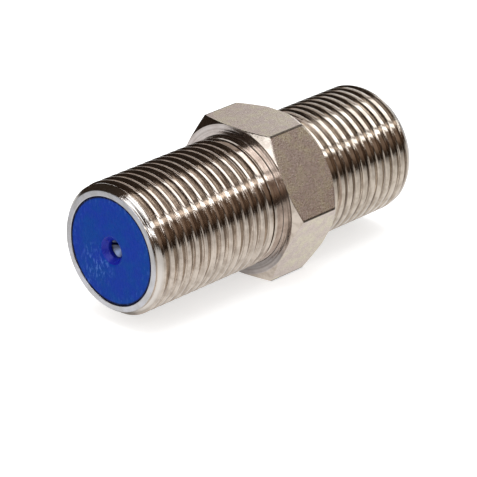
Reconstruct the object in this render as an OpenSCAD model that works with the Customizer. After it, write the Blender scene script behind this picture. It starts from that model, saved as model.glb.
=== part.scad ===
// F81 barrel coupler: a female-to-female type F coaxial connector.
// A turned hexagon shell with a 3/8-32 thread at both ends holds two moulded
// insulators, and they hold one sprung contact tube between them.
// The coupler lies on one flat of its hexagon: +X runs from the front port to
// the rear port, and +Z is up. Millimetres.

/* [Thread] */
// Diameter over the thread crests
thread_d = 9.45; // [9.2:0.01:9.52]
// Pitch, 32 turns to the inch
thread_pitch = 0.79375; // [0.65:0.00625:0.9]
// Threaded length of the front barrel, from its end face
front_thread_l = 11.05; // [7:0.05:11.1]
// Threaded length of the rear barrel, from its end face
rear_thread_l = 8.5; // [5:0.05:8.6]
// Width of the front thread's crests along the axis
front_crest_w = 0.2; // [0.1:0.01:0.3]
// Width of the rear thread's crests: it is cut less deep, so they are wider
rear_crest_w = 0.33; // [0.1:0.01:0.35]
// Width of the flat at the root of both threads
root_w = 0.1; // [0.05:0.01:0.15]
// Plain land that ends each thread at its inner end
thread_land_l = 0.3; // [0.1:0.05:0.5]
// Angle round the axis where the front thread's crest leaves the end face
front_thread_start = 15; // [0:1:359]
// Angle round the axis where the rear thread's crest leaves the end face
rear_thread_start = 327; // [0:1:359]
// Length of the bevel that leads onto each thread
lead_in_l = 0.5; // [0.2:0.05:1]

/* [Shell] */
// Length of the front barrel, from its end face to the hexagon
front_barrel_l = 12.05; // [12:0.05:16]
// Length of the rear barrel, from the hexagon to its end face
rear_barrel_l = 9.15; // [8.8:0.05:14]
// Length of the hexagon
hex_l = 4.45; // [3:0.05:7]
// Hexagon across its flats, for an 11 mm spanner
hex_af = 10.9; // [10.5:0.05:13]
// How far the front chamfer runs back at the hexagon's corners
hex_front_chamfer = 0.35; // [0.1:0.05:0.8]
// How far the rear chamfer runs forward at the hexagon's corners
hex_rear_chamfer = 0.9; // [0.1:0.05:1.2]
// Diameter of the plain collar between the front thread and the hexagon
collar_d = 9.4; // [9:0.05:9.5]
// Length of the plain collar
collar_l = 0.75; // [0.5:0.05:0.85]
// Radius of the fillet between the collar and the hexagon
collar_fillet = 0.1; // [0.05:0.05:0.4]

/* [Bore] */
// Diameter of the long middle bore
bore_d = 6.8; // [5.5:0.05:7.2]
// Diameter of the seat that holds an insulator's flange
seat_d = 7.94; // [7.4:0.02:8]
// Depth of that seat's shoulder below the end face
seat_depth = 1.7; // [1.2:0.05:3]
// How far the rolled lip overhangs the insulator's flange all round
lip_overhang = 0.08; // [0.04:0.01:0.12]
// Thickness of the rolled lip along the axis
lip_t = 0.16; // [0.1:0.02:0.4]

/* [Insulators] */
// How far an insulator's face lies below the end face
face_recess = 0.06; // [0:0.01:0.09]
// Diameter of the hub that holds the contact
hub_d = 3.8; // [3:0.05:5]
// Reach of the hub below the end face
hub_reach = 6.5; // [4:0.1:8]
// Diameter of the funnel's mouth
funnel_d = 2.1; // [1.7:0.05:3]
// Diameter of the hole at the funnel's foot, for the cable's centre wire
throat_d = 1.3; // [1.1:0.05:1.4]
// Depth of the funnel's foot below the end face
funnel_depth = 0.5; // [0.3:0.05:0.7]
// Depth where the hole opens into the contact's pocket
pocket_depth = 0.8; // [0.75:0.05:1.5]

/* [Contact] */
// Outer diameter of the contact tube
contact_d = 2.1; // [1.9:0.05:2.6]
// Wall of the contact tube
contact_wall = 0.2; // [0.1:0.02:0.3]
// Inner diameter at the waist where the fingers grip the wire
waist_d = 0.8; // [0.5:0.05:1]
// Distance of the waist from the contact's end
waist_at = 0.7; // [0.6:0.1:3]
// Length of the spring fingers
finger_l = 4.6; // [3.6:0.1:7]
// Width of the slots between the fingers
finger_slot = 0.2; // [0.1:0.02:0.4]

/* [Fits] */
// Radial clearance of an insulator in the shell
insulator_gap = 0.02; // [0.01:0.01:0.05]
// Clearance of the contact in its pockets, all round and at the ends
contact_gap = 0.03; // [0.02:0.01:0.08]

/* [Hidden] */
$fn = 96;
eps = 0.01;

// The shell, measured along its axis from the front end face
total_l = front_barrel_l + hex_l + rear_barrel_l;
hex_front = front_barrel_l;
hex_rear = front_barrel_l + hex_l;
hex_flat_r = hex_af / 2;
hex_corner_r = hex_flat_r / cos(30);
// The chamfers start this share of the way from the middle of a flat to a corner
chamfer_start = 0.06;
collar_r = collar_d / 2;

// The thread form is a 60 degree V between the flats of its crest and its root
crest_r = thread_d / 2;
function thread_depth(crest_w) = (thread_pitch - crest_w - root_w) / 2 / tan(30);
// Facets to one turn of the thread
thread_segments = 48;
// A thread vertex nearer than this to the end of the thread lands on the end
snap = 0.03;
// The last groove climbs onto the land over this length
run_out_l = 0.1;
// How far a threaded barrel reaches into the solid that carries it
barrel_root = 0.4;

bore_r = bore_d / 2;
seat_r = seat_d / 2;
lip_r = seat_r - lip_overhang;

flange_r = seat_r - insulator_gap;
face_r = lip_r - insulator_gap;
pocket_r = contact_d / 2 + contact_gap;

contact_r = contact_d / 2;
contact_front = pocket_depth + contact_gap;
contact_l = total_l - 2 * contact_front;
waist_r = waist_d / 2;
// The fingers run straight for this length at the mouth and at the waist
mouth_l = 0.15;

// Lays a piece that is drawn upward from the front end face on the coupler's axis
module on_axis() {
    translate([-total_l / 2, 0, hex_flat_r])
        rotate([0, 90, 0])
            children();
}

// Turns a piece that is drawn from an end face round, to stand at the rear end face
module at_rear() {
    translate([0, 0, total_l])
        rotate([180, 0, 0])
            children();
}

// ---- thread -------------------------------------------------------------

function on_ring(i, r, z) =
    let (a = 360 * i / thread_segments)
    [r * cos(a), r * sin(a), z];

// The four lines that bound a turn's crest and root: place along the axis, and radius
function thread_lines(crest_w) =
    let (root_r = crest_r - thread_depth(crest_w))
    [
        [-crest_w / 2, crest_r],
        [crest_w / 2, crest_r],
        [(thread_pitch - root_w) / 2, root_r],
        [(thread_pitch + root_w) / 2, root_r]
    ];

// Height of a thread line at segment i, before it is cut to the thread's length
function line_z(lines, row, i, start) =
    let (turn = floor(row / len(lines)) - 1)
    lines[row % len(lines)][0] + thread_pitch * (turn + i / thread_segments - start / 360);

// Radius of a thread line at height z: the lead-in bevel cuts it down at one end,
// and the run-out fills the groove at the other
function line_r(lines, row, z, thread_l) =
    let (
        root_r = lines[2][1],
        depth = crest_r - root_r,
        lead_in_r = root_r + depth * z / lead_in_l,
        run_out_r = crest_r - depth * (thread_l - thread_land_l - z) / run_out_l
    )
    min(crest_r, max(min(lines[row % len(lines)][1], lead_in_r), run_out_r));

// A vertex of the thread: on the end face's ring, on the ring where the thread
// stops, or on its own line between them
function thread_vertex(lines, row, i, start, thread_l) =
    i == thread_segments
    ? thread_vertex(lines, row + len(lines), 0, start, thread_l)
    : let (z = line_z(lines, row, i, start))
      z < snap ? i
      : z > thread_l - snap ? thread_segments + i
      : (4 + row) * thread_segments + i;

// A right-hand thread on a solid rod along +Z. The thread is thread_l long, and the
// rod goes on at the root's radius to rod_l.
module threaded_rod(thread_l, rod_l, start, crest_w) {
    n = thread_segments;
    lines = thread_lines(crest_w);
    root_r = lines[2][1];
    rows = len(lines) * (ceil(thread_l / thread_pitch) + 3);
    points = concat(
        [for (i = [0 : n - 1]) on_ring(i, root_r, 0)],
        [for (i = [0 : n - 1]) on_ring(i, crest_r, thread_l)],
        [for (i = [0 : n - 1]) on_ring(i, root_r, thread_l)],
        [for (i = [0 : n - 1]) on_ring(i, root_r, rod_l)],
        [for (row = [0 : rows]) for (i = [0 : n - 1])
            let (z = line_z(lines, row, i, start))
            on_ring(i, line_r(lines, row, z, thread_l), z)]
    );
    flanks = [
        for (row = [0 : rows - 1]) for (i = [0 : n - 1])
            let (
                a = thread_vertex(lines, row, i, start, thread_l),
                b = thread_vertex(lines, row, i + 1, start, thread_l),
                c = thread_vertex(lines, row + 1, i + 1, start, thread_l),
                d = thread_vertex(lines, row + 1, i, start, thread_l)
            )
            for (face = [[a, c, b], [a, d, c]])
                if (face[0] != face[1] && face[1] != face[2] && face[2] != face[0])
                    face
    ];
    // The land's end and the plain neck join the rings after the thread
    neck = [
        for (ring = [1, 2]) for (i = [0 : n - 1])
            let (j = (i + 1) % n, a = ring * n, b = (ring + 1) * n)
            for (face = [[a + i, b + j, a + j], [a + i, b + i, b + j]])
                face
    ];
    caps = [
        [for (i = [0 : n - 1]) i],
        [for (i = [n - 1 : -1 : 0]) 3 * n + i]
    ];
    polyhedron(points = points, faces = concat(caps, flanks, neck), convexity = 20);
}

// ---- shell --------------------------------------------------------------

// The hexagon, cut to its chamfers by a turned form
module hexagon() {
    inner_r = hex_flat_r + chamfer_start * (hex_corner_r - hex_flat_r);
    slope_front = hex_front_chamfer / (hex_corner_r - inner_r);
    slope_rear = hex_rear_chamfer / (hex_corner_r - inner_r);
    outer_r = hex_corner_r + 1;
    intersection() {
        translate([0, 0, hex_front])
            rotate([0, 0, 30])
                cylinder(r = hex_corner_r, h = hex_l, $fn = 6);
        rotate_extrude()
            polygon([
                [0, hex_front],
                [inner_r, hex_front],
                [outer_r, hex_front + slope_front * (outer_r - inner_r)],
                [outer_r, hex_rear - slope_rear * (outer_r - inner_r)],
                [inner_r, hex_rear],
                [0, hex_rear]
            ]);
    }
}

// The plain collar and its fillet against the hexagon
module collar() {
    translate([0, 0, hex_front - collar_l])
        cylinder(r = collar_r, h = collar_l + eps);
    rotate_extrude()
        difference() {
            translate([collar_r - eps, hex_front - collar_fillet])
                square([collar_fillet + eps, collar_fillet + eps]);
            translate([collar_r + collar_fillet, hex_front - collar_fillet])
                circle(r = collar_fillet);
        }
}

// The room inside the shell: middle bore, insulator seats and rolled lips
module shell_bore() {
    rotate_extrude()
        polygon([
            [0, -eps],
            [lip_r, -eps],
            [lip_r, lip_t],
            [seat_r, lip_t],
            [seat_r, seat_depth],
            [bore_r, seat_depth],
            [bore_r, total_l - seat_depth],
            [seat_r, total_l - seat_depth],
            [seat_r, total_l - lip_t],
            [lip_r, total_l - lip_t],
            [lip_r, total_l + eps],
            [0, total_l + eps]
        ]);
}

module shell() {
    color("silver")
        on_axis()
            difference() {
                union() {
                    hexagon();
                    collar();
                    threaded_rod(front_thread_l, hex_front - collar_l + barrel_root,
                                 front_thread_start, front_crest_w);
                    at_rear()
                        threaded_rod(rear_thread_l, rear_barrel_l + barrel_root,
                                     rear_thread_start, rear_crest_w);
                }
                shell_bore();
            }
}

// ---- insulators ---------------------------------------------------------

// One insulator, drawn from the end face: a flange under the rolled lip, a funnel
// for the centre wire and a hub round the contact's end
module insulator() {
    color("royalblue")
        rotate_extrude()
            polygon([
                [funnel_d / 2, face_recess],
                [face_r, face_recess],
                [face_r, lip_t + insulator_gap],
                [flange_r, lip_t + insulator_gap],
                [flange_r, seat_depth - insulator_gap],
                [hub_d / 2, seat_depth - insulator_gap],
                [hub_d / 2, hub_reach],
                [pocket_r, hub_reach],
                [pocket_r, pocket_depth],
                [throat_d / 2, pocket_depth],
                [throat_d / 2, funnel_depth]
            ]);
}

module front_insulator() {
    on_axis() insulator();
}

module rear_insulator() {
    on_axis() at_rear() insulator();
}

// ---- contact ------------------------------------------------------------

// Half of the contact's wall, from its mouth to the middle, as radius and height
module contact_half_wall() {
    inner = [
        [contact_r - contact_wall, 0],
        [contact_r - contact_wall, mouth_l],
        [waist_r, waist_at - mouth_l / 2],
        [waist_r, waist_at + mouth_l / 2],
        [contact_r - contact_wall, finger_l],
        [contact_r - contact_wall, contact_l / 2 + eps]
    ];
    outer = [for (i = [len(inner) - 1 : -1 : 0]) inner[i] + [contact_wall, 0]];
    polygon(concat(inner, outer));
}

// The slots that part the four fingers at one end
module finger_slots() {
    for (a = [0, 90])
        rotate([0, 0, a])
            translate([-contact_r - eps, -finger_slot / 2, -eps])
                cube([contact_d + 2 * eps, finger_slot, finger_l + eps]);
}

module center_contact() {
    color("gainsboro")
        on_axis()
            for (end = [0, 1])
                translate([0, 0, end * total_l])
                    rotate([end * 180, 0, 0])
                        translate([0, 0, contact_front])
                            difference() {
                                rotate_extrude() contact_half_wall();
                                finger_slots();
                            }
}

shell();
front_insulator();
rear_insulator();
center_contact();
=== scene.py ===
"""The looks of a female-to-female type F coaxial coupler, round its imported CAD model.

The shell and both insulators are built here as finer skins of the same sizes:
rounded edges, a smooth helical thread and a softly crowned collar. Millimetres are
used while a skin is drawn, and metres in the scene. A skin is drawn as the CAD
part is: s runs along the axis from the front end face, r is the distance from
the axis, and the angle runs round it.
"""

import math

import bpy
import numpy as np
from mathutils import Matrix, Vector


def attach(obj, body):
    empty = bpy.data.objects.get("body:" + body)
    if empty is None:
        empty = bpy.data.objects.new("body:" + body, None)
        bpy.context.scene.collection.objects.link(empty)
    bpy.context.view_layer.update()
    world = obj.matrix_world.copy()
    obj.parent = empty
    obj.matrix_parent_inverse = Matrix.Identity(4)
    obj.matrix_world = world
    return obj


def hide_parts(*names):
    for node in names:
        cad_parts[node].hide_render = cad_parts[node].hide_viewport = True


MM = 0.001

# ---- sizes, in mm, as in the CAD part ------------------------------------

PITCH = 0.79375
CREST_R = 9.45 / 2
ROOT_W = 0.1
FRONT_CREST_W, REAR_CREST_W = 0.2, 0.33
FRONT_START, REAR_START = 15, 327
FRONT_THREAD_L, REAR_THREAD_L = 11.05, 8.5
LEAD_IN_L, RUN_OUT_L, LAND_L = 0.5, 0.1, 0.3

HEX_FRONT, HEX_L, REAR_BARREL_L = 12.05, 4.45, 9.15
HEX_REAR = HEX_FRONT + HEX_L
TOTAL_L = HEX_REAR + REAR_BARREL_L
HEX_FLAT_R = 10.9 / 2
HEX_CORNER_R = HEX_FLAT_R / math.cos(math.radians(30))
CHAMFER_START = 0.06
CHAMFER_R = HEX_FLAT_R + CHAMFER_START * (HEX_CORNER_R - HEX_FLAT_R)
FRONT_CHAMFER, REAR_CHAMFER = 0.35, 0.9
COLLAR_R, COLLAR_L = 9.4 / 2, 0.75

LIP_R, LIP_T = 3.89, 0.16
SEAT_R, SEAT_DEPTH, BORE_R = 3.97, 1.7, 3.4

INSULATOR_GAP = 0.02
FACE_RECESS, FACE_R, FLANGE_R = 0.06, 3.87, 3.95
HUB_R, HUB_REACH = 1.9, 6.5
FUNNEL_R, FUNNEL_DEPTH = 1.05, 0.5
THROAT_R, POCKET_R, POCKET_DEPTH = 0.65, 1.08, 0.8

# ---- sizes that only the skins have, in mm --------------------------------

# How far the hexagon's long edges are rounded, and how many degrees that takes
HEX_EDGE_R = 0.1
HEX_EDGE_REACH = 0.53
# Columns this near to a corner of the hexagon, in degrees, are painted dark
DARK_EDGE_REACH = 0.79
# Roundings at the thread's root and crest edges, in the order of rising s
ROOT_ROUNDING = 0.06
CREST_ROUNDINGS = 0.045, 0.06
# A thread's end ring stands this far inside the edge that it rounds
END_RING = 0.04
# A point of a thread nearer than this to an end ring joins the ring
SNAP = 0.02
# The collar's crown: place behind its front edge, how much lower, and rounding
COLLAR_CROWN = [(0.0, 0.05, 0.04), (0.15, 0.012, 0.3), (0.5, 0.0, 0.6)]
# Rounding of the corner between the collar and the hexagon
COLLAR_FILLET = 0.07
# The chamfers stop this far short of the flats
CHAMFER_MARGIN = 0.02
# Rings that are added across an insulator's face
FACE_RINGS = 8
# Steps in which a corner is rounded, and in which the thread's are
ROUNDING_STEPS, THREAD_STEPS = 4, 2


def thread_depth(crest_w):
    """Depth of a 60 degree thread between the flats of its crest and its root."""
    return (PITCH - crest_w - ROOT_W) / 2 / math.tan(math.radians(30))


# ---- drawing skins --------------------------------------------------------


def hex_columns():
    """Angles round the axis, in degrees: close together at the hexagon's corners."""
    half = [0, 0.26, 0.526, 0.8, 1.3, 2.1, 3.3, 5] + list(np.arange(7.5, 30.1, 2.5))
    sector = [30 - d for d in reversed(half)] + [30 + d for d in half[1:-1]]
    return np.array([60 * k + a for k in range(6) for a in sector])


def from_corner(angles):
    """How far each angle is from the nearest corner of the hexagon, in degrees."""
    return np.abs((angles % 60) - 30)


def hex_radius(angles):
    """Radius of the hexagon at each angle, with its corners rounded."""
    off = np.radians(from_corner(angles))
    centre = (HEX_FLAT_R - HEX_EDGE_R) / math.cos(math.radians(30))
    flat = HEX_FLAT_R / np.cos(math.radians(30) - off)
    inside = np.clip(HEX_EDGE_R**2 - (centre * np.sin(off)) ** 2, 0, None)
    corner = centre * np.cos(off) + np.sqrt(inside)
    return np.where(off < math.radians(HEX_EDGE_REACH), corner, flat)


def rounded(path, steps=ROUNDING_STEPS):
    """The points of a path whose corners are rounded, each in the given number of steps.
    An end of the path is (s, r) and a corner is (s, r, rounding). s and r may be numbers,
    or arrays with a value for each column."""
    points = [np.stack(np.broadcast_arrays(*[np.asarray(v, float) for v in p[:2]])) for p in path]
    width = max(p.size // 2 for p in points)
    points = [np.broadcast_to(p.reshape(2, -1), (2, width)) for p in points]
    out = [points[0]]
    for k in range(1, len(points) - 1):
        back, on = points[k - 1] - points[k], points[k + 1] - points[k]
        back_l, on_l = np.linalg.norm(back, axis=0), np.linalg.norm(on, axis=0)
        back, on = back / back_l, on / on_l
        half = np.arccos(np.clip((back * on).sum(0), -1, 1)) / 2
        # A rounding takes less than half of the shorter side
        reach = np.minimum(path[k][2] / np.tan(half), 0.45 * np.minimum(back_l, on_l))
        for w in np.linspace(0, 1, steps + 1):
            out.append(points[k] + back * reach * (1 - w) ** 2 + on * reach * w**2)
    out.append(points[-1])
    return out


class Skin:
    """A closed mesh drawn ring after ring round the axis."""

    def __init__(self, angles):
        self.angles = np.asarray(angles, float)
        self.n = len(self.angles)
        self.points, self.count = [], 0
        self.triangles, self.materials = [], []

    def ring(self, s, r, columns=None):
        """Adds points at the given columns, all of them by default, and returns their numbers."""
        a = np.radians(self.angles if columns is None else self.angles[columns])
        s, r = np.broadcast_to(s, a.shape), np.broadcast_to(r, a.shape)
        self.points.append(
            np.stack([s - TOTAL_L / 2, r * np.sin(a), HEX_FLAT_R - r * np.cos(a)], 1)
        )
        self.count += len(a)
        return np.arange(self.count - len(a), self.count)

    def quads(self, a, b, c, d, material):
        """Adds two triangles for each set of four points, without those that have no area."""
        for t in (np.stack([a, b, c], 1), np.stack([a, c, d], 1)):
            keep = (t[:, 0] != t[:, 1]) & (t[:, 1] != t[:, 2]) & (t[:, 2] != t[:, 0])
            self.triangles.append(t[keep])
            self.materials.append(np.broadcast_to(material, len(t))[keep])

    def strip(self, low, high, material):
        """Joins two rings."""
        self.quads(low, np.roll(low, -1), np.roll(high, -1), high, material)

    def path(self, start, points, end, material):
        """Draws rings along a path from the ring start to the ring end. material gives
        the material of a strip from the strip's number."""
        last = start
        for k, (s, r) in enumerate(points):
            ring = self.ring(s, r)
            self.strip(last, ring, material(k))
            last = ring
        self.strip(last, end, material(len(points)))

    def thread(self, low, high, low_ring, high_ring, zero, crest_w, end_s, inner_s, material):
        """A right-hand thread between two rings. zero is where its crest crosses angle 0,
        end_s the end face with the lead-in bevel, inner_s the thread's inner end."""
        depth = thread_depth(crest_w)
        root_r = CREST_R - depth
        turn = rounded([
            (-PITCH / 2, root_r),
            (-PITCH / 2 + ROOT_W / 2, root_r, ROOT_ROUNDING),
            (-crest_w / 2, CREST_R, CREST_ROUNDINGS[0]),
            (crest_w / 2, CREST_R, CREST_ROUNDINGS[1]),
            (PITCH / 2 - ROOT_W / 2, root_r, ROOT_ROUNDING),
            (PITCH / 2, root_r),
        ], THREAD_STEPS)
        # A turn's last line is the next turn's first
        turn = [p[:, 0] for p in turn][:-1]
        lines = len(turn)
        # Two turns more than needed before the low end, and as many after the high end
        first = math.floor((low - zero) / PITCH) - 2
        turns = math.ceil((high - low) / PITCH) + 5
        ids = np.empty((turns * lines, self.n), int)
        side = 1 if inner_s > end_s else -1
        for row in range(turns * lines):
            offset, radius = turn[row % lines]
            s = zero + PITCH * (self.angles / 360 + first + row // lines) + offset
            from_end, from_inner = side * (s - end_s), side * (inner_s - s)
            lead_in = root_r + depth * from_end / LEAD_IN_L
            run_out = CREST_R - depth * (from_inner - LAND_L) / RUN_OUT_L
            r = np.minimum(CREST_R, np.maximum(np.minimum(radius, lead_in), run_out))
            at_low, at_high = s < low + SNAP, s > high - SNAP
            own = ~(at_low | at_high)
            ids[row, at_low] = low_ring[at_low]
            ids[row, at_high] = high_ring[at_high]
            if own.any():
                ids[row, own] = self.ring(s[own], r[own], np.flatnonzero(own))
        right = np.roll(ids, -1, 1)
        right[:-lines, -1] = ids[lines:, 0]
        for row in range(turns * lines - lines - 1):
            self.quads(ids[row], right[row], right[row + 1], ids[row + 1], material)

    def build(self, name, materials):
        """The finished object. Its normals lean to the larger faces, so flats stay flat."""
        co = np.concatenate(self.points) * MM
        tris = np.concatenate(self.triangles)
        slots = np.concatenate(self.materials).astype(np.int32)
        mesh = bpy.data.meshes.new(name)
        mesh.from_pydata(co.tolist(), [], tris.tolist())
        for m in materials:
            mesh.materials.append(m)
        mesh.polygons.foreach_set("material_index", slots)
        mesh.polygons.foreach_set("use_smooth", np.ones(len(tris), bool))
        face = np.cross(co[tris[:, 1]] - co[tris[:, 0]], co[tris[:, 2]] - co[tris[:, 0]])
        normals = np.zeros_like(co)
        for k in range(3):
            np.add.at(normals, tris[:, k], face)
        normals /= np.maximum(np.linalg.norm(normals, axis=1, keepdims=True), 1e-30)
        mesh.update()
        mesh.normals_split_custom_set_from_vertices(normals.tolist())
        o = bpy.data.objects.new(name, mesh)
        bpy.context.scene.collection.objects.link(o)
        return o


# ---- the pieces -----------------------------------------------------------

# The shell's material slots
TURNED, REAR_TURNED, SATIN, EDGE, FACED, POLISHED, END = range(7)


def shell_skin(materials):
    angles = hex_columns()
    skin = Skin(angles)
    hex_r = hex_radius(angles)
    front_root = CREST_R - thread_depth(FRONT_CREST_W)
    rear_root = CREST_R - thread_depth(REAR_CREST_W)
    # The lead-in bevels rise from the roots at the end faces
    front_bevel_r = front_root + END_RING * thread_depth(FRONT_CREST_W) / LEAD_IN_L
    rear_bevel_r = rear_root + END_RING * thread_depth(REAR_CREST_W) / LEAD_IN_L
    rear_s = TOTAL_L - REAR_THREAD_L
    front_low = skin.ring(END_RING, front_bevel_r)
    front_high = skin.ring(FRONT_THREAD_L - END_RING, CREST_R)
    rear_low = skin.ring(rear_s + END_RING, CREST_R)
    rear_high = skin.ring(TOTAL_L - END_RING, rear_bevel_r)

    skin.thread(
        END_RING, FRONT_THREAD_L - END_RING, front_low, front_high,
        -PITCH * FRONT_START / 360, FRONT_CREST_W, 0, FRONT_THREAD_L, TURNED,
    )
    skin.thread(
        rear_s + END_RING, TOTAL_L - END_RING, rear_low, rear_high,
        TOTAL_L + PITCH * REAR_START / 360, REAR_CREST_W, TOTAL_L, rear_s, REAR_TURNED,
    )

    # From the front thread over the collar and the hexagon to the rear thread
    collar_s = HEX_FRONT - COLLAR_L
    slope_front = FRONT_CHAMFER / (HEX_CORNER_R - CHAMFER_R)
    slope_rear = REAR_CHAMFER / (HEX_CORNER_R - CHAMFER_R)
    face_r = np.minimum(CHAMFER_R, hex_r - CHAMFER_MARGIN)
    middle = rounded([
        (FRONT_THREAD_L - END_RING, CREST_R),
        (FRONT_THREAD_L, CREST_R, 0.04),
        (FRONT_THREAD_L, front_root, 0.04),
        (collar_s, front_root, 0.04),
        *[(collar_s + s, COLLAR_R - lower, rounding) for s, lower, rounding in COLLAR_CROWN],
        (HEX_FRONT, COLLAR_R, COLLAR_FILLET),
        (HEX_FRONT, face_r, 0.04),
        (HEX_FRONT + slope_front * (hex_r - face_r), hex_r, 0.08),
        (HEX_REAR - slope_rear * (hex_r - face_r), hex_r, 0.35),
        (HEX_REAR, face_r, 0.05),
        (HEX_REAR, rear_root, 0.04),
        (rear_s, rear_root, 0.04),
        (rear_s, CREST_R, 0.04),
        (rear_s + END_RING, CREST_R),
    ])
    # The strips that lead up to some of the corners: strip k ends at point k. Most
    # surfaces meet halfway through a rounding, 2 strips further on.
    fillet, face_edge, flats, rear_edge, rear_neck = (
        corner * (ROUNDING_STEPS + 1) for corner in (6, 7, 9, 10, 11)
    )
    near_corner = from_corner(angles)
    # worn marks the columns nearest the hexagon's corners, whose long edges are painted dark
    worn = np.minimum(near_corner, np.roll(near_corner, -1)) < DARK_EDGE_REACH

    def middle_material(k):
        if flats - 2 <= k <= flats + 4:
            return np.where(worn, EDGE, SATIN)
        # The corner between the collar and the hexagon: painted shade
        if k in (fillet + 2, fillet + 3):
            return EDGE
        if face_edge + 2 <= k <= rear_edge + 2:
            return POLISHED
        if fillet + 2 <= k <= rear_neck + 2:
            return FACED
        return TURNED if k < flats else REAR_TURNED

    skin.path(front_high, middle[1:-1], rear_low, middle_material)

    # From the rear thread over the rear face, through the bore to the front face
    ends = rounded([
        (TOTAL_L - END_RING, rear_bevel_r),
        (TOTAL_L, rear_root, 0.05),
        (TOTAL_L, LIP_R, 0.12),
        (TOTAL_L - LIP_T, LIP_R, 0.02),
        (TOTAL_L - LIP_T, SEAT_R, 0.02),
        (TOTAL_L - SEAT_DEPTH, SEAT_R, 0.05),
        (TOTAL_L - SEAT_DEPTH, BORE_R, 0.05),
        (SEAT_DEPTH, BORE_R, 0.05),
        (SEAT_DEPTH, SEAT_R, 0.05),
        (LIP_T, SEAT_R, 0.02),
        (LIP_T, LIP_R, 0.02),
        (0, LIP_R, 0.12),
        (0, front_root, 0.05),
        (END_RING, front_bevel_r),
    ])
    skin.path(rear_high, ends[1:-1], front_low, lambda k: END)
    return skin.build("shell_skin", materials)


def insulator_skin(name, materials, rear):
    """One insulator. Its materials are the face's and the funnel's."""
    skin = Skin(np.arange(0, 360, 3))
    seam = ((FUNNEL_DEPTH + POCKET_DEPTH) / 2, THROAT_R)
    points = rounded([
        seam,
        (FUNNEL_DEPTH, THROAT_R, 0.12),
        (FACE_RECESS, FUNNEL_R, 0.35),
        (FACE_RECESS, FACE_R, 0.06),
        (LIP_T + INSULATOR_GAP, FACE_R, 0.02),
        (LIP_T + INSULATOR_GAP, FLANGE_R, 0.02),
        (SEAT_DEPTH - INSULATOR_GAP, FLANGE_R, 0.08),
        (SEAT_DEPTH - INSULATOR_GAP, HUB_R, 0.1),
        (HUB_REACH, HUB_R, 0.1),
        (HUB_REACH, POCKET_R, 0.1),
        (POCKET_DEPTH, POCKET_R, 0.05),
        (POCKET_DEPTH, THROAT_R, 0.05),
        seam,
    ])
    # More rings across the face, from the end of the funnel's mouth to the rim
    mouth = 2 * (ROUNDING_STEPS + 1)
    a, b = points[mouth], points[mouth + 1]
    shares = np.linspace(0, 1, FACE_RINGS + 2)[1:-1]
    points[mouth + 1:mouth + 1] = [a + (b - a) * t for t in shares]
    if rear:
        points = [np.stack([TOTAL_L - s, r]) for s, r in points]
    first = last = skin.ring(*points[0])
    for p in points[1:]:
        ring = first if p is points[-1] else skin.ring(*p)
        low, high = (ring, last) if rear else (last, ring)
        in_funnel = int(np.max(p[1]) < FUNNEL_R)
        skin.strip(low, high, in_funnel)
        last = ring
    return skin.build(name, materials)


# ---- materials ------------------------------------------------------------

NICKEL, NICKEL_DARK = (0.66, 0.575, 0.495, 1), (0.50, 0.425, 0.36, 1)
# The rear barrel's copy of the turned nickel is darker: painted shade
REAR_NICKEL, REAR_DARK = (0.62, 0.54, 0.455, 1), (0.46, 0.39, 0.32, 1)
# The faced nickel is lighter than the turned nickel: painted light
FACED_NICKEL, FACED_DARK = (0.78, 0.71, 0.68, 1), (0.70, 0.62, 0.585, 1)
# The end faces' cool tint is a painted reflection of the blue plastic beside them
END_NICKEL, END_DARK = (0.60, 0.595, 0.625, 1), (0.52, 0.51, 0.51, 1)
SATIN_YELLOW, SATIN_RED = (0.70, 0.635, 0.48, 1), (0.69, 0.57, 0.535, 1)
EDGE_DARK, EDGE_LIGHT = (0.05, 0.038, 0.028, 1), (0.14, 0.11, 0.085, 1)
# The bevels' lighter tint is a painted highlight
BEVEL_NICKEL = (0.72, 0.67, 0.62, 1)
# A darker colour put in streaks in the valleys: dirt and painted shade
GRIME_AND_SHADE = (0.26, 0.215, 0.18, 1)

BLUE, BLUE_CLOUD = (0.001, 0.050, 0.30, 1), (0.005, 0.036, 0.34, 1)
BLUE_GRAIN, BLUE_RIM = (0.001, 0.026, 0.22, 1), (0.003, 0.004, 0.030, 1)
BLUE_SCUFFED = (0.12, 0.25, 0.70, 1)
# The funnel's darker violet blue is painted shade
FUNNEL_VIOLET, FUNNEL_BLUE = (0.010, 0.016, 0.33, 1), (0.004, 0.024, 0.38, 1)
# The contact's dim blue-grey is painted shade and a painted reflection of the blue plastic
SHADED_TIN, SHADED_TIN_DARK = (0.28, 0.33, 0.47, 1), (0.15, 0.19, 0.31, 1)

# A micrometre, for the heights of bumps
UM = 0.000001
# The valleys, with marks and a darkening that is dirt and painted shade, lie this far below the
# crests and deeper
VALLEY_TOP, VALLEY_FADE = 0.03, 0.09
# The bevels at both ports: their radii, and how near to the end faces they are
BEVEL_R = 4.30, 4.36
BEVEL_END = TOTAL_L / 2 - 0.55, TOTAL_L / 2 - 0.35
# Scuffed places on a blue face, as place (y, z), outer and inner radius, and share
SCUFFS = [((1.3, -1.2), 1.9, 0.5, 1.0), ((2.4, -2.3), 1.5, 0.4, 0.7)]
# The outer ring of a blue face that is scuffed lightly, and its shaded rim
SCUFFED_RING = 3.0, 3.6
SHADED_RIM = 3.68, 3.80


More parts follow.
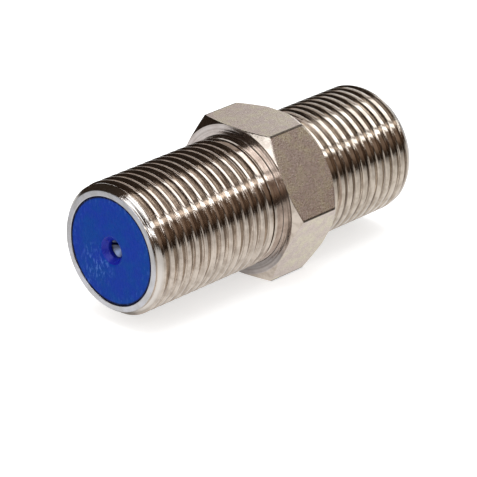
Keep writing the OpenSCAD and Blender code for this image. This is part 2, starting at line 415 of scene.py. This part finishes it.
class Nodes:
    """Short ways to add nodes to a tree."""

    def __init__(self, tree):
        self.tree = tree
        tree.nodes.clear()

    def add(self, kind, inputs=None, **settings):
        node = self.tree.nodes.new(kind)
        for key, value in settings.items():
            setattr(node, key, value)
        for key, value in (inputs or {}).items():
            self.put(node.inputs[key], value)
        return node

    def put(self, socket, value):
        if isinstance(value, bpy.types.NodeSocket):
            self.tree.links.new(value, socket)
        else:
            socket.default_value = value

    def math(self, operation, *values):
        """A math node. Three values or more are taken in turn, from the left."""
        if len(values) > 2:
            values = (self.math(operation, *values[:-1]), values[-1])
        node = self.add("ShaderNodeMath", operation=operation)
        for socket, value in zip(node.inputs, values):
            self.put(socket, value)
        return node.outputs[0]

    def add_up(self, *values):
        return self.math("ADD", *values)

    def times(self, *values):
        return self.math("MULTIPLY", *values)

    def minus(self, a, b):
        return self.math("SUBTRACT", a, b)

    def length(self, a, b):
        """Length of a line that reaches a one way and b across it."""
        return self.math("SQRT", self.add_up(self.times(a, a), self.times(b, b)))

    def step(self, value, low, high, to_low=0.0, to_high=1.0):
        """A smooth step from to_low to to_high, while value goes from low to high."""
        limits = {"From Min": low, "From Max": high, "To Min": to_low, "To Max": to_high}
        return self.add(
            "ShaderNodeMapRange", {"Value": value, **limits}, interpolation_type="SMOOTHSTEP"
        ).outputs["Result"]

    def window(self, value, a, b, c, d):
        """1 between b and c, falling smoothly to 0 at a and d."""
        return self.times(self.step(value, a, b), self.step(value, c, d, 1.0, 0.0))

    def mix(self, factor, a, b):
        node = self.add("ShaderNodeMix", data_type="RGBA")
        colour = [s for s in node.inputs if s.type == "RGBA"]
        self.put(node.inputs[0], factor)
        self.put(colour[0], a)
        self.put(colour[1], b)
        return [s for s in node.outputs if s.type == "RGBA"][0]

    def noise(self, vector, scale, detail=3.0, roughness=0.6):
        return self.add(
            "ShaderNodeTexNoise",
            {"Vector": vector, "Scale": scale, "Detail": detail, "Roughness": roughness},
        ).outputs["Fac"]

    def bump(self, height, distance, normal=None):
        node = self.add("ShaderNodeBump", {"Height": height, "Distance": distance, "Strength": 1.0})
        if normal is not None:
            self.put(node.inputs["Normal"], normal)
        return node.outputs["Normal"]

    def parts(self, vector):
        return self.add("ShaderNodeSeparateXYZ", {"Vector": vector}).outputs

    def object_mm(self):
        """Place on the object in millimetres, with the axis at y = z = 0."""
        place = self.add("ShaderNodeTexCoord").outputs["Object"]
        return self.add(
            "ShaderNodeMapping",
            {"Vector": place, "Scale": (1000, 1000, 1000), "Location": (0, 0, -HEX_FLAT_R)},
        ).outputs["Vector"]


def new_material(name):
    m = bpy.data.materials.new(name)
    m.use_nodes = True
    return m, Nodes(m.node_tree)


def finish_material(n, **inputs):
    names = {k.replace("_", " "): v for k, v in inputs.items()}
    shader = n.add("ShaderNodeBsdfPrincipled", names)
    n.add("ShaderNodeOutputMaterial", {"Surface": shader.outputs[0]})


def turned_nickel(name, marks, grime_and_shade, light, dark, polish, reach=CREST_R - VALLEY_TOP):
    """Nickel on turned brass. marks is the height of the tool marks round the axis, the next
    argument the share of darkening in them, which is dirt and painted shade, and reach how
    far from the axis both are found. polish is the lowest roughness."""
    m, n = new_material(name)
    place = n.object_mm()
    x, y, z = n.parts(place)
    r = n.length(y, z)
    turned = n.add("ShaderNodeCombineXYZ", {"X": x, "Y": r}).outputs[0]
    rings = n.noise(turned, 6.5, 2.0, 0.6)
    blotch = n.noise(place, 1.3)
    fine = n.noise(place, 11.0, 2.0, 0.5)
    rough = n.add_up(n.times(blotch, 0.10), polish)
    tint = n.mix(n.step(blotch, 0.38, 0.64), light, dark)
    # The crests are burnished: the marks stay in the valleys, and so does the darkening,
    # which is dirt and painted shade. The bevels at both ends have marks but no darkening
    low = n.step(r, reach, reach - VALLEY_FADE)
    bevel = n.times(n.step(r, *BEVEL_R), n.step(n.math("ABSOLUTE", x), *BEVEL_END))
    # The bevels take a lighter tint: a painted highlight
    tint = n.mix(bevel, tint, BEVEL_NICKEL)
    dirt_and_shade = n.times(low, n.minus(1.0, bevel))
    # Dirt and painted shade: the valleys are darkened in streaks
    tint = n.mix(n.times(dirt_and_shade, n.step(rings, 0.40, 0.62, 0.0, grime_and_shade)), tint, GRIME_AND_SHADE)
    normal = n.bump(rings, n.add_up(n.times(low, marks), 2 * UM))
    normal = n.bump(fine, 3 * UM, normal)
    finish_material(n, Base_Color=tint, Metallic=1.0, Roughness=rough, Normal=normal)
    return m


def satin_nickel():
    """The hexagon's flats: drawn bar under the plating, dull and finely mottled."""
    m, n = new_material("nickel_satin")
    place = n.object_mm()
    drawn = n.add("ShaderNodeMapping", {"Vector": place, "Scale": (0.6, 1, 1)}).outputs[0]
    grain = n.noise(drawn, 7.0, 4.0, 0.75)
    blotch = n.noise(place, 1.1)
    rough = n.add_up(n.times(grain, 0.10), 0.22)
    worn = n.add_up(n.times(grain, 0.7), n.times(blotch, 0.3))
    tone = n.mix(n.step(blotch, 0.38, 0.62), SATIN_YELLOW, SATIN_RED)
    tint = n.mix(n.step(worn, 0.32, 0.72), tone, NICKEL_DARK)
    normal = n.bump(grain, 5 * UM)
    finish_material(n, Base_Color=tint, Metallic=1.0, Roughness=rough, Normal=normal)
    return m


def edge_nickel():
    """The hexagon's long edges and the collar's corner, painted dark: at the collar's corner it is
    painted shade.
    """
    m, n = new_material("nickel_edge")
    wear = n.noise(n.object_mm(), 6.0)
    tint = n.mix(n.step(wear, 0.3, 0.7), EDGE_DARK, EDGE_LIGHT)
    rough = n.add_up(n.times(wear, 0.2), 0.4)
    finish_material(n, Base_Color=tint, Metallic=1.0, Roughness=rough)
    return m


def blue_plastic():
    """Moulded blue plastic with light scuffs from the cables that were pushed in."""
    m, n = new_material("blue_plastic")
    place = n.object_mm()
    _, y, z = n.parts(place)

    def distance(y0, z0):
        return n.length(n.minus(y, y0), n.minus(z, z0))

    r = distance(0.0, 0.0)
    cloud = n.noise(place, 0.7)
    grain = n.noise(place, 7.0)
    stroke = {"Vector": place, "Scale": (1, 2.0, 0.8), "Rotation": (0.6, 0, 0)}
    scuff = n.noise(n.add("ShaderNodeMapping", stroke).outputs[0], 2.6, 4.0, 0.7)
    near = [n.step(distance(*at), outer, inner, 0.0, most) for at, outer, inner, most in SCUFFS]
    near = n.math("MAXIMUM", *near, n.times(n.step(r, *SCUFFED_RING), 0.25))
    worn = n.times(n.step(scuff, 0.50, 0.66), n.add_up(n.times(near, 0.9), 0.05))
    tint = n.mix(n.step(cloud, 0.35, 0.65), BLUE, BLUE_CLOUD)
    tint = n.mix(n.times(n.step(grain, 0.45, 0.7), 0.35), tint, BLUE_GRAIN)
    tint = n.mix(n.step(r, *SHADED_RIM), tint, BLUE_RIM)
    tint = n.mix(n.times(worn, 0.55), tint, BLUE_SCUFFED)
    rough = n.add_up(n.times(grain, 0.15), n.add_up(n.times(worn, 0.2), 0.30))
    normal = n.bump(scuff, 20 * UM, n.bump(grain, 10 * UM))
    finish_material(
        n, Base_Color=tint, Roughness=rough, IOR=1.38, Specular_IOR_Level=0.10, Normal=normal
    )
    return m


def dark_blue_plastic():
    """The funnel and the throat: the same plastic, polished by pins, in a darker violet blue that
    is painted shade.
    """
    m, n = new_material("dark_blue_plastic")
    cloud = n.noise(n.object_mm(), 2.5)
    tint = n.mix(n.step(cloud, 0.3, 0.7), FUNNEL_VIOLET, FUNNEL_BLUE)
    rough = n.add_up(n.times(cloud, 0.2), 0.18)
    normal = n.bump(cloud, 40 * UM)
    finish_material(
        n, Base_Color=tint, Roughness=rough, IOR=1.5, Specular_IOR_Level=0.3, Normal=normal
    )
    return m


def tinned_bronze():
    """The contact: tin on spring bronze, softly polished. Its dim blue-grey is painted shade
    and a painted reflection of the blue plastic round it.
    """
    m, n = new_material("tinned_bronze")
    cloud = n.noise(n.object_mm(), 3.0)
    tint = n.mix(cloud, SHADED_TIN, SHADED_TIN_DARK)
    rough = n.add_up(n.times(cloud, 0.15), 0.30)
    normal = n.bump(cloud, 10 * UM)
    finish_material(n, Base_Color=tint, Metallic=1.0, Roughness=rough, Normal=normal)
    return m


# ---- the studio -----------------------------------------------------------

WHITE = (1, 1, 1, 1)

# Reflections show a dim room with these bright fields. The four edges of a field say
# where it begins, is full, begins to fade and ends. "Around" is the angle round the
# coupler's axis: 0 is the far side, 90 overhead and 180 the near side. "Along" is the
# direction's part on X. The camera sees 0.655 mirrored in the thread's crests, about
# 0.28 either way in its valleys, -0.655 in the front face, and -0.7 and less in parts
# of the front bevel.
PANEL_AROUND = 70, 76, 124, 130
STRIP_AROUND, STRIP_LEVEL = (130, 134, 138.5, 141.5), 3.2
PANEL_ALONG = -0.86, -0.78, 0.86, 0.94
# The panel is dimmer where the valleys mirror it, and where the bevel does
VALLEY_ALONG, VALLEY_STEP = 0.28, (0.12, 0.19, 0.25, 2.3)
BEVEL_STEP = -0.73, -0.69, 0.50, 1.0
# The far wall brightens along X, and is darker where the crests mirror it
FAR_AROUND, FAR_BEGIN, FAR_STEP = (4, 12, 62, 72), (0.2, 0.4), (0.4, 0.8, 1.15, 1.8)
CREST_ALONG, CREST_DIM = (0.57, 0.61, 0.69, 0.73), 1.20
# A weak field on the near side, under the strip
NEAR_AROUND, NEAR_LEVEL = (139, 142, 160, 177), 0.22
# Two cards in front of the port, a tilted one on the near side and one on the far side
CARD_ALONG, CARD_TILT = (-0.8, -0.86), 0.1
CARD_UP, CARD_ACROSS, CARD_LEVEL = (0.12, 0.14, 0.20, 0.22), (0.14, 0.08), 3.4
SIDE_UP, SIDE_ACROSS, SIDE_LEVEL = (0.02, 0.05, 0.26, 0.30), (0.08, 0.14, 0.50, 0.60), 2.0
# A faint glow round the photographer
TO_CAMERA, GLOW_STEP = (-0.655, -0.637, 0.406), (0.91, 0.97, 0.0, 0.06)
# The room itself, from the near side to the far side
ROOM_STEP = 0.3, 0.7, 0.045, 0.030
# Dim fields are warm and bright ones are cool
TONE_STEP, WARM, COOL = (0.1, 0.8), (1.0, 0.70, 0.51, 1), (0.96, 1.0, 1.05, 1)
ROOM_LIGHT = 0.80

TABLE_R, TABLE_SIDES, TABLE_CENTRE, TABLE_Z = 0.11, 96, (0.02, -0.02), -0.00002
TABLE_WHITE, TABLE_GLOW, MIRRORED_GREY = (0.8, 0.8, 0.8, 1), 0.55, (0.25, 0.25, 0.25, 1)
# How bright reflections show the table, by the distance in mm from the coupler's axis, as a
# painted glow: a painted shadow under the coupler, bright beside it and fading further out
COUPLER_REACH = 12.0
TABLE_STEPS = [(6.0, 22.0, 0.74, 0.42), (25.0, 75.0, 1.0, 0.08), (0.5, 2.5, 0.35, 1.0)]

CAMERA_PLACE_MM = -138.93, -134.62, 88.25
CAMERA_AHEAD, CAMERA_ROLL = (0.65524, 0.63681, -0.40638), -0.675
CAMERA_LENS, CAMERA_SENSOR = 226.4, 36


def studio_world():
    """White for the camera, an even pale room for diffuse light, and for reflections the
    dim room with its bright fields."""
    world = bpy.data.worlds.new("studio")
    bpy.context.scene.world = world
    world.use_nodes = True
    n = Nodes(world.node_tree)
    x, y, z = n.parts(n.add("ShaderNodeTexCoord").outputs["Generated"])
    around = n.times(n.math("ARCTAN2", z, y), 180 / math.pi)

    off_valley = n.math("ABSOLUTE", n.minus(n.math("ABSOLUTE", x), VALLEY_ALONG))
    panel = n.times(n.window(around, *PANEL_AROUND), n.step(off_valley, *VALLEY_STEP))
    strip = n.times(n.window(around, *STRIP_AROUND), STRIP_LEVEL)
    above = n.times(n.window(x, *PANEL_ALONG), n.step(x, *BEVEL_STEP))
    above = n.times(n.add_up(panel, strip), above)

    far = n.times(n.window(around, *FAR_AROUND), n.step(x, *FAR_BEGIN))
    crest = n.times(n.window(x, *CREST_ALONG), CREST_DIM)
    far = n.times(far, n.minus(n.step(x, *FAR_STEP), crest))
    near = n.times(n.window(around, *NEAR_AROUND), NEAR_LEVEL)

    up = n.add_up(z, n.times(y, CARD_TILT))
    card = n.times(n.window(up, *CARD_UP), n.step(y, *CARD_ACROSS), CARD_LEVEL)
    side = n.times(n.window(z, *SIDE_UP), n.window(y, *SIDE_ACROSS), SIDE_LEVEL)
    card = n.times(n.math("MAXIMUM", card, side), n.step(x, *CARD_ALONG))

    on_x, on_y, on_z = (n.times(v, k) for v, k in zip((x, y, z), TO_CAMERA))
    glow = n.step(n.add_up(on_x, n.add_up(on_y, on_z)), *GLOW_STEP)
    room = n.add_up(near, n.step(y, *ROOM_STEP))
    total = n.add_up(n.add_up(above, far), n.add_up(card, glow, room))

    tone = n.mix(n.step(total, *TONE_STEP), WARM, COOL)
    shine = n.add("ShaderNodeBackground", {"Color": tone, "Strength": total}).outputs[0]
    even = n.add("ShaderNodeBackground", {"Color": WHITE, "Strength": ROOM_LIGHT}).outputs[0]
    white = n.add("ShaderNodeBackground", {"Color": WHITE, "Strength": 1.0}).outputs[0]
    path = n.add("ShaderNodeLightPath").outputs
    lit = n.add("ShaderNodeMixShader", {0: path["Is Glossy Ray"], 1: even, 2: shine}).outputs[0]
    seen = n.add("ShaderNodeMixShader", {0: path["Is Camera Ray"], 1: lit, 2: white}).outputs[0]
    n.add("ShaderNodeOutputWorld", {"Surface": seen})


def floor():
    """A pale table top, white to the camera, that keeps the coupler's soft shadow."""
    turns = [2 * math.pi * k / TABLE_SIDES for k in range(TABLE_SIDES)]
    x0, y0 = TABLE_CENTRE
    rim = [(TABLE_R * math.cos(a) + x0, TABLE_R * math.sin(a) + y0, TABLE_Z) for a in turns]
    mesh = bpy.data.meshes.new("table")
    mesh.from_pydata(rim, [], [list(range(TABLE_SIDES))])
    o = bpy.data.objects.new("table", mesh)
    bpy.context.scene.collection.objects.link(o)

    m, n = new_material("white_table")
    diffuse = n.add("ShaderNodeBsdfDiffuse", {"Color": TABLE_WHITE}).outputs[0]
    glow = n.add("ShaderNodeEmission", {"Color": WHITE, "Strength": TABLE_GLOW}).outputs[0]
    white = n.add("ShaderNodeAddShader", {0: diffuse, 1: glow}).outputs[0]
    x, y, _ = n.parts(n.object_mm())
    past_end = n.math("MAXIMUM", n.minus(n.math("ABSOLUTE", x), COUPLER_REACH), 0.0)
    out = n.length(past_end, y)
    # The table's glow in reflections: a painted shadow under the coupler, a painted pool of light
    # beside it
    painted_glow = n.times(*[n.step(out, *limits) for limits in TABLE_STEPS])
    grey = n.add("ShaderNodeBsdfDiffuse", {"Color": MIRRORED_GREY}).outputs[0]
    shine = n.add("ShaderNodeEmission", {"Color": WHITE, "Strength": painted_glow}).outputs[0]
    mirrored = n.add("ShaderNodeAddShader", {0: grey, 1: shine}).outputs[0]
    path = n.add("ShaderNodeLightPath").outputs
    glossy = n.math("MAXIMUM", path["Is Glossy Ray"], path["Is Transmission Ray"])
    lit = n.add("ShaderNodeMixShader", {0: glossy, 1: diffuse, 2: mirrored}).outputs[0]
    seen = n.add("ShaderNodeMixShader", {0: path["Is Camera Ray"], 1: lit, 2: white}).outputs[0]
    n.add("ShaderNodeOutputMaterial", {"Surface": seen})
    mesh.materials.append(m)


def lamp(name, place, size, power, target=(0, 0, 0.005)):
    """A square area lamp that points at the coupler."""
    data = bpy.data.lights.new(name, "AREA")
    data.shape = "RECTANGLE"
    data.size = data.size_y = size
    data.energy = power
    o = bpy.data.objects.new(name, data)
    o.location = place
    o.rotation_euler = (Vector(target) - Vector(place)).to_track_quat("-Z", "Y").to_euler()
    o.visible_camera = False
    o.visible_glossy = False
    bpy.context.scene.collection.objects.link(o)


def camera():
    """The photograph's viewpoint: from the front and left, a little above."""
    data = bpy.data.cameras.new("camera")
    data.sensor_width = CAMERA_SENSOR
    data.lens = CAMERA_LENS
    data.clip_start = 0.01
    o = bpy.data.objects.new("camera", data)
    place = Vector(CAMERA_PLACE_MM) * MM
    ahead = Vector(CAMERA_AHEAD).normalized()
    right = ahead.cross(Vector((0, 0, 1))).normalized()
    up = right.cross(ahead)
    sin, cos = math.sin(math.radians(CAMERA_ROLL)), math.cos(math.radians(CAMERA_ROLL))
    right, up = (right * cos + up * sin, up * cos - right * sin)
    turn = Matrix((right, up, -ahead)).transposed().to_4x4()
    o.matrix_world = Matrix.Translation(place) @ turn
    bpy.context.scene.collection.objects.link(o)
    bpy.context.scene.camera = o


# ---- the scene ------------------------------------------------------------

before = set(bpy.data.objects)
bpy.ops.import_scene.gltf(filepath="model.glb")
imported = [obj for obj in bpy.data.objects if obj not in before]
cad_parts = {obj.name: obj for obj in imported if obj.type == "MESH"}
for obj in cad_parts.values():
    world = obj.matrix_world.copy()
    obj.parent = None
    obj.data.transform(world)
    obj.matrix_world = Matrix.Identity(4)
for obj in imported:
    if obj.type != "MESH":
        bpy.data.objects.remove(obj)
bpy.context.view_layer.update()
bpy.context.scene.view_settings.view_transform = "Standard"

# In the order of the shell's material slots
nickel = [
    turned_nickel("nickel_turned", 27 * UM, 0.5, NICKEL, NICKEL_DARK, 0.05),
    # The rear thread: a darker copy with stronger darkening of its valleys, painted shade
    turned_nickel("nickel_turned_rear", 27 * UM, 0.9, REAR_NICKEL, REAR_DARK, 0.05),
    satin_nickel(),
    edge_nickel(),
    # The hexagon's faces: a lighter copy of the nickel, painted light, with the streaked darkening
    # all over
    turned_nickel("nickel_faced", 18 * UM, 0.3, FACED_NICKEL, FACED_DARK, 0.10, HEX_CORNER_R + 0.1),
    turned_nickel("nickel_polished", 2 * UM, 0.0, NICKEL, NICKEL_DARK, 0.05),
    # The end faces and bores, cool-tinted: a painted reflection of the blue plastic
    turned_nickel("nickel_end", 3 * UM, 0.0, END_NICKEL, END_DARK, 0.25),
]
blue = [blue_plastic(), dark_blue_plastic()]

shell = shell_skin(nickel)
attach(shell, "root")
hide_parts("shell")

for end, is_rear in (("front", False), ("rear", True)):
    piece = insulator_skin(end + "_insulator_skin", blue, is_rear)
    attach(piece, "root")
    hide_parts(end + "_insulator")

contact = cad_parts["center_contact"]
contact.data.materials.clear()
contact.data.materials.append(tinned_bronze())

studio_world()
floor()
lamp("overhead_softbox", (0.05, 0.0, 0.45), 0.40, 1.0)
lamp("front_card", (-0.40, 0.02, 0.12), 0.25, 0.15)
camera()
